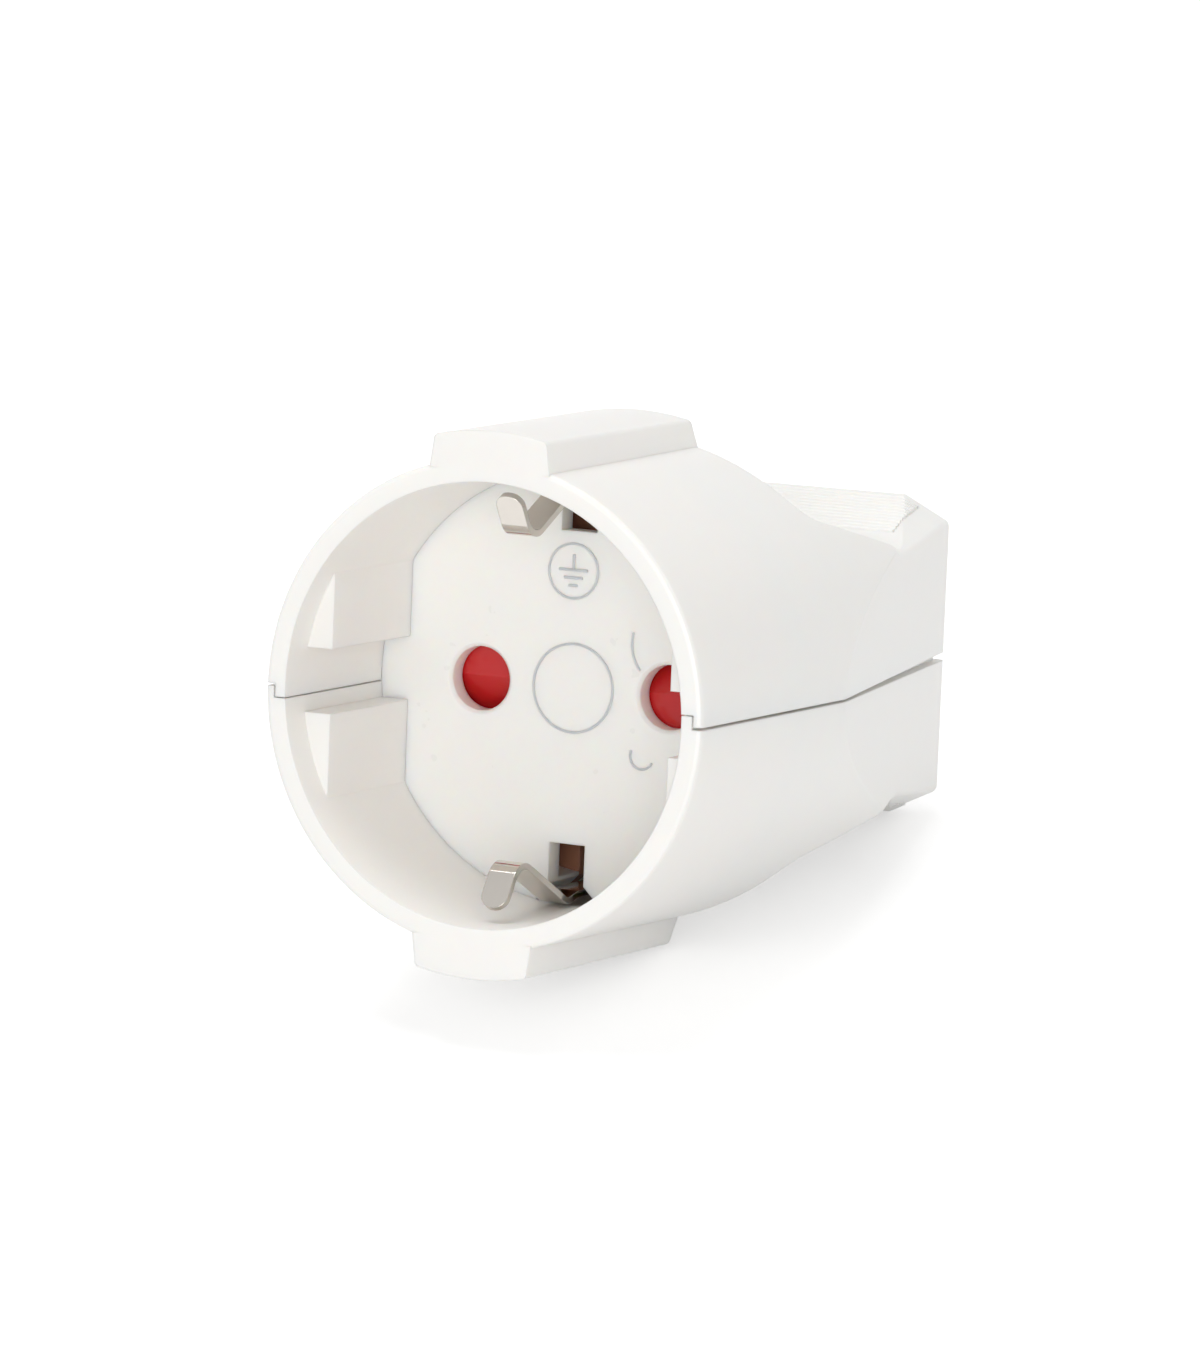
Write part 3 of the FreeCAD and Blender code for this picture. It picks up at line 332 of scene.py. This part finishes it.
STEEL_COLOUR = (0.66, 0.66, 0.68)
finish_nodes(metal("Zinc-plated steel", STEEL_COLOUR, roughness=0.3, line_scale=5000,
                   line_strength=0.2),
             "live_terminal_screw", "neutral_terminal_screw", "earth_terminal_screw",
             "insert_screw_upper", "insert_screw_lower", "clamp_screw_left",
             "clamp_screw_right", "housing_screw_left", "housing_screw_right",
             "shutter_spring")

# Earth mark: a small raised ring with the earth sign in it, moulded with the socket face
# above the pin holes.

FACE_Y = 17.5
ON_FACE = LAID_DOWN @ Matrix.Translation((0, FACE_Y * MM, 0)) @ Matrix.Rotation(
    math.pi / 2, 4, "X")
MARK_HIGH, MARK_WIDE = 0.12, 0.22
MARK_EDGE, MARK_EDGE_STEPS = 0.3, 2
RING_SIDES = 96
SMOOTH_BELOW = math.radians(35)
EARTH_X, EARTH_Z, EARTH_R = -0.4, 10.5, 2.46
STROKE = 0.26
STEM_RISE, STEM_LONG = 0.85, 1.35
BAR_RISES_AND_WIDTHS = ((0.1, 2.9), (-0.6, 1.9), (-1.3, 0.9))


def raised_ring(x, z, radius):
    """A flat ring raised from the face."""
    bpy.ops.object.select_all(action="DESELECT")
    bpy.ops.mesh.primitive_circle_add(
        vertices=RING_SIDES, radius=(radius + MARK_WIDE / 2) * MM, fill_type="NGON",
        location=(x * MM, z * MM, 0))
    ring = bpy.context.object
    bpy.ops.object.mode_set(mode="EDIT")
    bpy.ops.mesh.inset(thickness=MARK_WIDE * MM)
    bpy.ops.mesh.delete(type="FACE")
    bpy.ops.mesh.select_all(action="SELECT")
    bpy.ops.mesh.extrude_region_move(
        TRANSFORM_OT_translate={"value": (0, 0, MARK_HIGH * MM)})
    bpy.ops.mesh.select_all(action="SELECT")
    bpy.ops.mesh.normals_make_consistent(inside=False)
    bpy.ops.object.mode_set(mode="OBJECT")
    return ring


def raised_bar(x, z, width, height):
    """A bar of a moulded sign."""
    bpy.ops.object.select_all(action="DESELECT")
    bpy.ops.mesh.primitive_cube_add(size=1, location=(x * MM, z * MM, MARK_HIGH * MM / 2))
    bar = bpy.context.object
    bar.scale = (width * MM, height * MM, MARK_HIGH * MM)
    bpy.ops.object.transform_apply(location=True, rotation=False, scale=True)
    return bar


def moulded_mark(name, parts):
    """Join a mark's parts, soften its edges and set it in place on the socket face."""
    bpy.ops.object.select_all(action="DESELECT")
    for part in parts:
        part.select_set(True)
    bpy.context.view_layer.objects.active = parts[0]
    if len(parts) > 1:
        bpy.ops.object.join()
    mark = bpy.context.object
    mark.name = name
    bpy.ops.object.transform_apply(location=True, rotation=True, scale=True)
    soften = mark.modifiers.new("Soft edges", "BEVEL")
    soften.width = MARK_HIGH * MM * MARK_EDGE
    soften.segments = MARK_EDGE_STEPS
    bpy.ops.object.modifier_apply(modifier=soften.name)
    mark.matrix_world = ON_FACE
    bpy.ops.object.transform_apply(location=True, rotation=True, scale=True)
    bpy.ops.object.shade_smooth_by_angle(angle=SMOOTH_BELOW)
    mark.data.materials.clear()
    mark.data.materials.append(face_plastic)
    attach(mark, "connector")


earth_parts = [raised_ring(EARTH_X, EARTH_Z, EARTH_R),
               raised_bar(EARTH_X, EARTH_Z + STEM_RISE, STROKE, STEM_LONG)]
for rise, width in BAR_RISES_AND_WIDTHS:
    earth_parts.append(raised_bar(EARTH_X, EARTH_Z + rise, width, STROKE))
moulded_mark("earth_mark", earth_parts)

# Centre ring and side ridges: a bare ring round the middle of the socket face, and a curved
# ridge and a small open hook beside the right pin hole. All are moulded with the face.

CENTRE_R = 3.98
RIDGE_X, RIDGE_Z, RIDGE_R = 9.3, 4.55, 3.55
RIDGE_FROM, RIDGE_SWEEP = math.radians(222), math.radians(58)
HOOK_X, HOOK_Z, HOOK_R = 7.15, -5.5, 1.15
HOOK_FROM, HOOK_SWEEP = math.radians(335), math.radians(180)
RIDGE_STEPS = 24


def raised_ridge(x, z, radius, start, sweep):
    """A curved ridge: a small upright face that is spun round x, z."""
    bpy.ops.object.select_all(action="DESELECT")
    bpy.ops.mesh.primitive_plane_add(
        size=1, location=((x + radius * math.cos(start)) * MM,
                          (z + radius * math.sin(start)) * MM, MARK_HIGH * MM / 2),
        rotation=(math.pi / 2, 0, start))
    ridge = bpy.context.object
    ridge.scale = (MARK_WIDE * MM, MARK_HIGH * MM, 1)
    bpy.ops.object.transform_apply(location=True, rotation=True, scale=True)
    bpy.ops.object.mode_set(mode="EDIT")
    bpy.ops.mesh.select_all(action="SELECT")
    bpy.ops.mesh.spin(steps=RIDGE_STEPS, angle=sweep, center=(x * MM, z * MM, 0),
                      axis=(0, 0, 1))
    bpy.ops.mesh.select_all(action="SELECT")
    bpy.ops.mesh.normals_make_consistent(inside=False)
    bpy.ops.object.mode_set(mode="OBJECT")
    return ridge


moulded_mark("centre_mark", [raised_ring(0, 0, CENTRE_R)])
moulded_mark("side_ridges", [raised_ridge(RIDGE_X, RIDGE_Z, RIDGE_R, RIDGE_FROM, RIDGE_SWEEP),
                             raised_ridge(HOOK_X, HOOK_Z, HOOK_R, HOOK_FROM, HOOK_SWEEP)])
